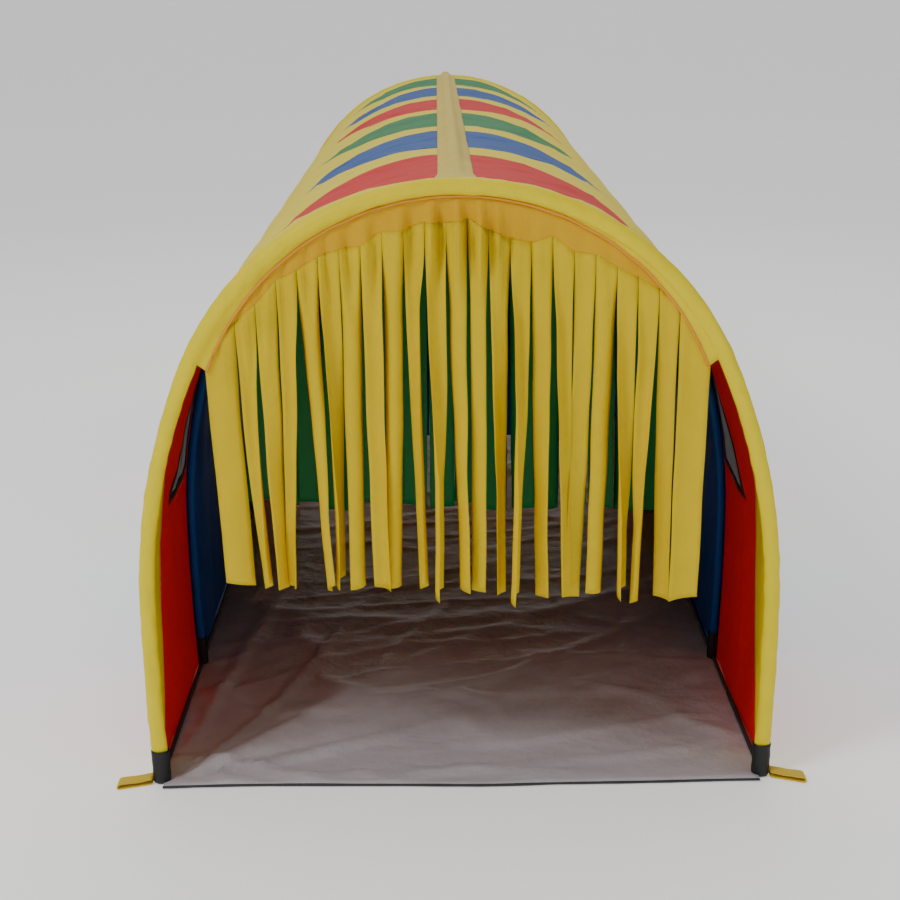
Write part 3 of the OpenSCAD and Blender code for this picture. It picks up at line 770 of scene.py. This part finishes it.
# streamers: the edge pair is wide, the rest share what is left
streamer = {"count": 23, "edge": 0.044, "columns": 6, "steps": 44, "thick": 0.0005, "low": 0.272, "high": 0.302}
random.seed(41)
inside = header["half"] - streamer["edge"]
innerEdges = [-inside + 2 * inside * k / (streamer["count"] - 2) for k in range(streamer["count"] - 1)]
edges = [-header["half"]] + innerEdges + [header["half"]]
slitTops = [hemZ(x) + 0.007 + random.uniform(0, 0.62) * max(0, pipingZ(x) - hemZ(x) - 0.012) for x in edges]
slitTops[0] = slitTops[-1] = header["hemEnd"] + 0.01
for k in range(1, streamer["count"]):
    slitTops[k] = max(slitTops[k], hemZ(min(abs(edges[k - 1]), abs(edges[k]))) + 0.006)


def slitLine(x):
    # a straight line from each slit's top to the next
    for k in range(streamer["count"]):
        if x <= edges[k + 1] + 1e-9:
            t = (x - edges[k]) / (edges[k + 1] - edges[k])
            return slitTops[k] * (1 - t) + slitTops[k + 1] * t
    return slitTops[-1]


columns = []
for k in range(streamer["count"]):
    columns += spread(edges[k], edges[k + 1], streamer["columns"])[:-1]
columns.append(edges[-1])
rows = []
for x in columns:
    top, low = max(pipingZ(x), slitLine(x) + 0.001), slitLine(x)
    rows.append([Vector((x, archY(0) + gather(x, z), z)) for z in spread(top, low, header["rows"])])
# the band takes the darker copy of the streamer cloth, as painted shade
frontHeader = gridPiece("frontHeader", rows, shadedHeaderCloth, "streamer_cloth", streamer["thick"])
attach(frontHeader, "tunnel")
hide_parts("front_header")


def hangingStrip(x0, x1, y, top, low, look, depth):
    # one strip of cloth from its slit tops down to a cut end; look gives its twist, sway and curl
    mid = (x0 + x1) / 2
    rows = []
    for r in range(streamer["steps"] + 1):
        t = r / streamer["steps"]
        row = []
        for u in spread(-1, 1, streamer["columns"]):
            x = mid + u * (x1 - x0) / 2
            zTop = top(x)
            z = zTop + (low + look["cut"] * u * 0.006 - zTop) * t
            drop = zTop - z
            ease = min(1, drop / 0.12)
            ease = ease * ease * (3 - 2 * ease)
            wide = (x1 - x0) / 2 - ease * look["inset"]
            turn = look["twist"] * ease * min(1, (drop / 0.36)) ** look.get("late", 1.2)
            swing = look["sway"] * t * t
            bend = look["curl"] * ease * (u * u - 0.4)
            px = mid + swing + look["drift"] * t
            py = y + depth(x, z) * (1 - ease) + look["push"] * t + 0.0022 * wave(mid * 40, z * 9, 3) * ease
            local = u * wide
            px += local * math.cos(turn)
            px -= bend * math.sin(turn)
            px += 0.0012 * wave(z * 12, mid * 60, 6) * ease
            row.append(Vector((px, py + local * math.sin(turn) + bend * math.cos(turn), z)))
        rows.append(row)
    return rows


for k in range(streamer["count"]):
    x0, x1 = edges[k], edges[k + 1]
    wideOne = k in (0, streamer["count"] - 1)
    across = (x0 + x1) / 2 / header["half"]
    kind = random.random()
    look = {"twist": random.uniform(-0.7, 0.7), "sway": random.uniform(-0.012, 0.012),
            "curl": random.uniform(-0.008, 0.008), "cut": random.uniform(-0.6, 0.6),
            "drift": -across * 0.014, "push": random.uniform(-0.014, 0.014),
            "inset": random.uniform(0.001, 0.0038) if not wideOne else 0.001}
    if wideOne:
        look["twist"] = 0.12
    elif kind > 0.68:
        look["twist"] = random.choice((-1, 1)) * random.uniform(1.05, 1.5)
        look["curl"] = 0.009 * random.choice((-1, 1))
        look["cut"] = 1.3
        look["late"] = random.uniform(0.5, 2.2)
    elif kind > 0.42:
        look["twist"] = random.choice((-1, 1)) * random.uniform(0.75, 1.05)
    # the cut ends hang lower to the right
    low = streamer["high"] + (streamer["low"] - streamer["high"]) * (0.5 + across / 2)
    low += random.uniform(-0.004, 0.004)
    if across > -0.1:
        low -= 0.004
    rows = hangingStrip(x0 + 0.0002, x1 - 0.0002, archY(0), slitLine, low, look, gather)
    body = f"streamer_{k + 1:02d}"
    piece = gridPiece(f"strip{k + 1:02d}", rows, stripCloth, "streamer_cloth", streamer["thick"])
    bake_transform(piece)
    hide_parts(body)
print("streamers done")

# inner and rear curtains, one cloth each: a header cut up from a straight bend line into wider strips
curtain = {"count": 16, "bend": 0.6275, "low": 0.285, "cut": 0.565, "innerInset": 0.0218, "rearInset": 0.024}


def curtainPiece(name, nodes, y, inset, material, slot, seed, loose):
    random.seed(seed)
    half = archPoint(angleAtZ(0.632, inset), inset)[0].x - 0.004
    pitch = 2 * (half - streamer["edge"]) / (curtain["count"] - 2)
    marks = [-half] + [-half + streamer["edge"] + pitch * k for k in range(curtain["count"] - 1)] + [half]
    points, faces = [], []

    def topAt(x):
        if abs(x) >= 0.355:
            return 0.66
        return archPoint(math.asin(min(0.999, abs(x) / (arch["crownR"] - inset))), inset)[0].z

    def ripple(x, z):
        folds = 0.005 * math.sin(x * 62 + seed) * min(1, (topAt(x) - z) / 0.06)
        return folds + 0.003 * wave(x * 9, z * 5, seed)

    for k in range(curtain["count"]):
        a, b = marks[k], marks[k + 1]
        look = {"twist": random.uniform(-loose, loose), "sway": random.uniform(-0.004, 0.004),
                "curl": random.uniform(-0.006, 0.006), "cut": random.uniform(-0.4, 0.4), "drift": 0,
                "push": random.uniform(-0.007, 0.007), "inset": 0.0003 + 0.003 * max(0, loose - 0.2)}
        low = curtain["low"] + random.uniform(-0.008, 0.006) - 0.014 * (0.5 + (a + b) / 4 / half)
        slitTop = max(curtain["bend"] + 0.02, min(topAt(a), topAt(b)) - random.uniform(0.06, 0.09))
        rows = []
        for share in spread(1, 0, 8)[:-1]:
            row = []
            for x in spread(a, b, streamer["columns"]):
                z = slitTop + (topAt(x) - slitTop) * share
                row.append(Vector((x, y + ripple(x, z), z)))
            rows.append(row)
        rows += hangingStrip(a, b, y, lambda x: slitTop, low, look, ripple)
        faces += gridFaces(len(rows), len(rows[0]), start=len(points))
        points += [p for row in rows for p in row]
    piece = addPiece(name, points, faces, material, slot, streamer["thick"])
    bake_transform(piece)
    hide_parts(*nodes)


curtainPiece("greenCurtain", ("green_header", "green_streamers"), archY(1), curtain["innerInset"],
             greenCloth, "green_cloth", 5, 0.5)
curtainPiece("blueCurtain", ("blue_header", "blue_streamers"), archY(2), curtain["innerInset"],
             blueCloth, "blue_cloth", 8, 0.2)
curtainPiece("rearCurtain", ("rear_header", "rear_streamers"), archY(tunnel["bays"]),
             curtain["rearInset"], stripCloth, "streamer_cloth", 13, 0.2)
print("curtains done")

# floor, camera and light
curve = [(9 + 4 * math.sin(t), 4 - 4 * math.cos(t)) for t in spread(0, math.pi / 2, 24)[1:]]
sweep = [(-14, 0), (9, 0)] + curve + [(13, 14)]
floorMesh = bpy.data.meshes.new("studioFloor")
floorMesh.from_pydata([(x, y, z) for y, z in sweep for x in (-16, 16)], [], gridFaces(len(sweep), 2))
for face in floorMesh.polygons:
    face.use_smooth = True
studioFloor = bpy.data.objects.new("studioFloor", floorMesh)
bpy.context.scene.collection.objects.link(studioFloor)
floorPaint = plainMaterial("floorPaint", {"colour": (0.95, 0.95, 0.95), "roughness": 0.95, "bump": 0.02})
floorGlow = {"Emission Color": (1, 1, 1, 1), "Emission Strength": 0.34}
setNode(floorPaint.node_tree.nodes["Principled BSDF"], floorGlow)
floorMesh.materials.append(floorPaint)
studioFloor.location.z = -0.0005

view = {"place": (-0.025, -4.005, 1.128), "pitch": 13.94, "yaw": -0.29, "roll": -0.56, "lens": 75.44}
cameraData = bpy.data.cameras.new("camera")
camera = bpy.data.objects.new("camera", cameraData)
bpy.context.scene.collection.objects.link(camera)
cameraData.lens = view["lens"]
cameraData.sensor_width = 36
camera.location = view["place"]
down, yaw = math.radians(view["pitch"]), math.radians(view["yaw"])
forward = Vector((-math.sin(yaw) * math.cos(down), math.cos(yaw) * math.cos(down), -math.sin(down)))
right = forward.cross(Vector((0, 0, 1))).normalized()
up = right.cross(forward)
roll = math.radians(view["roll"])
rightR = right * math.cos(roll) + up * math.sin(roll)
upR = up * math.cos(roll) - right * math.sin(roll)
camera.rotation_mode = "QUATERNION"
camera.rotation_quaternion = Matrix((rightR, upR, -forward)).transposed().to_quaternion()
bpy.context.scene.camera = camera


def softLight(name, place, aim, size, power):
    data = bpy.data.lights.new(name, "AREA")
    data.shape = "RECTANGLE"
    data.size, data.size_y = size
    data.energy = power
    lamp = bpy.data.objects.new(name, data)
    lamp.location = place
    lamp.rotation_euler = (Vector(aim) - Vector(place)).to_track_quat("-Z", "Y").to_euler()
    bpy.context.scene.collection.objects.link(lamp)


softLight("keyLight", (-2.2, -3.4, 3.4), (0, -0.8, 0.4), (1.1, 1.0), 78)
softLight("fillLight", (3.0, -3.4, 1.6), (0, -1.0, 0.4), (1.6, 1.6), 16)
softLight("topLight", (0, 1.2, 4.2), (0, 0.6, 0.6), (2.6, 4.0), 62)
world = bpy.data.worlds.new("studio")
world.use_nodes = True
setNode(world.node_tree.nodes["Background"], {"Color": (1, 1, 1, 1), "Strength": 0.36})
bpy.context.scene.world = world
print("studio done")
